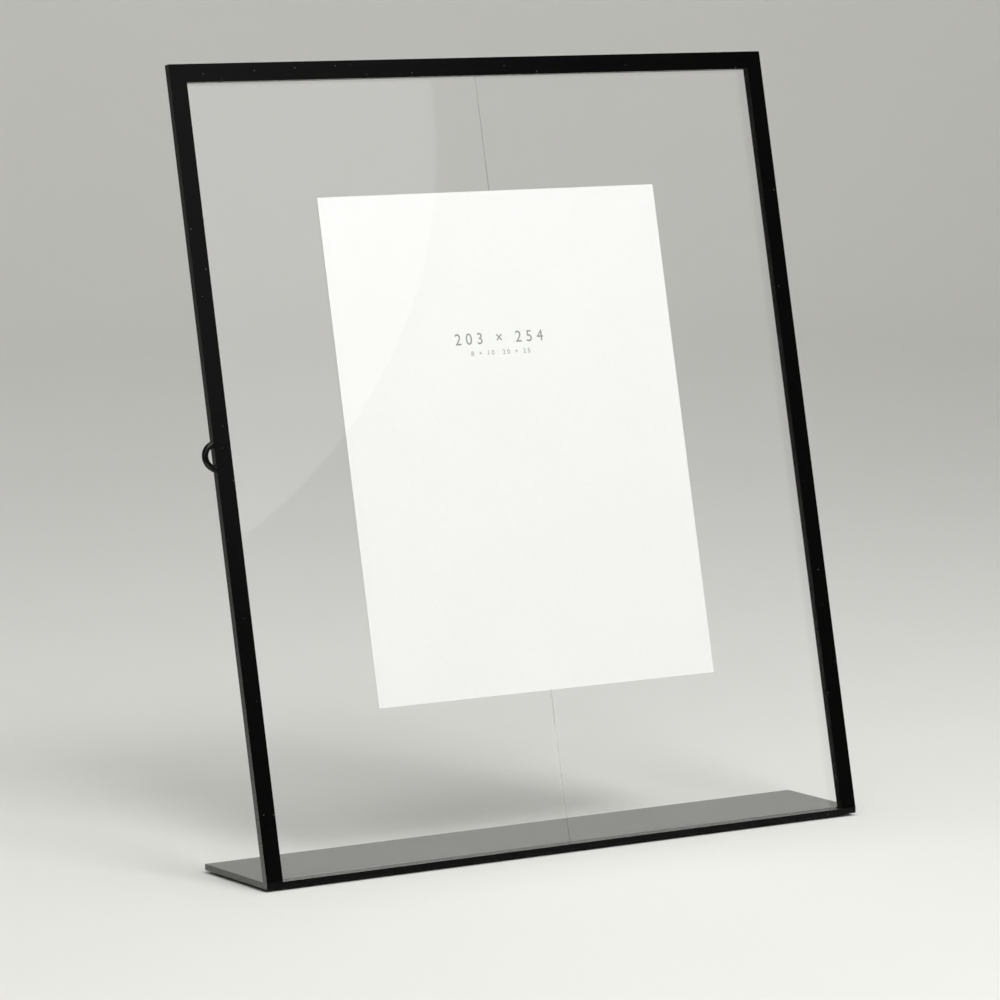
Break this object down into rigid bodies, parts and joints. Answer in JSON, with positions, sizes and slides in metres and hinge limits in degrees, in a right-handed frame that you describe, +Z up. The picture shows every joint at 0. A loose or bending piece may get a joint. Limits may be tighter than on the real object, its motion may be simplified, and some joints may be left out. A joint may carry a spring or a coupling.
{
  "type": "photo frame",
  "caption": "Leaning photo frame: clear panes hold a floating card in a slim black metal arch on a thin base plate; the side bar pulls off by a ring so the panes slide out.",
  "frame": {"origin": "on the surface the feet stand on, in the middle of the overall width and depth", "axes": "+X to the viewer's right, +Y to the back, +Z up"},
  "size_m": [0.3634, 0.0942, 0.3941],
  "materials": {
    "black_coat": "satin black powder coat with a fine grain",
    "clear_glass": "clear, polished, arrissed edges",
    "card_stock": "smooth matt white",
    "foot_rubber": "matt black",
    "liner_rubber": "matt black, ribbed"
  },
  "bodies": {
    "stand": {"base_plate": "black_coat", "foot_front_left": "foot_rubber", "foot_front_right": "foot_rubber", "foot_back_left": "foot_rubber", "foot_back_right": "foot_rubber", "right_bar": "black_coat", "right_spacer": "black_coat", "right_keeper": "black_coat", "right_liner": "liner_rubber", "top_bar": "black_coat", "top_spacer": "black_coat", "top_keeper": "black_coat", "top_liner": "liner_rubber"},
    "glass_pack": {"front_glass": "clear_glass", "back_glass_left": "clear_glass", "back_glass_right": "clear_glass", "photo_card": "card_stock"},
    "loose_stile": {"left_bar": "black_coat", "left_spacer": "black_coat", "left_keeper": "black_coat", "left_liner": "liner_rubber", "stile_tongue": "black_coat", "pull_ring": "black_coat"}
  },
  "joints": [
    {"name": "glass_slide", "type": "slide", "parent": "stand", "child": "glass_pack", "axis": [-1, 0, 0], "range_m": [0, 0.36]},
    {"name": "stile_pull", "type": "slide", "parent": "glass_pack", "child": "loose_stile", "axis": [-1, 0, 0], "range_m": [0, 0.03]}
  ]
}
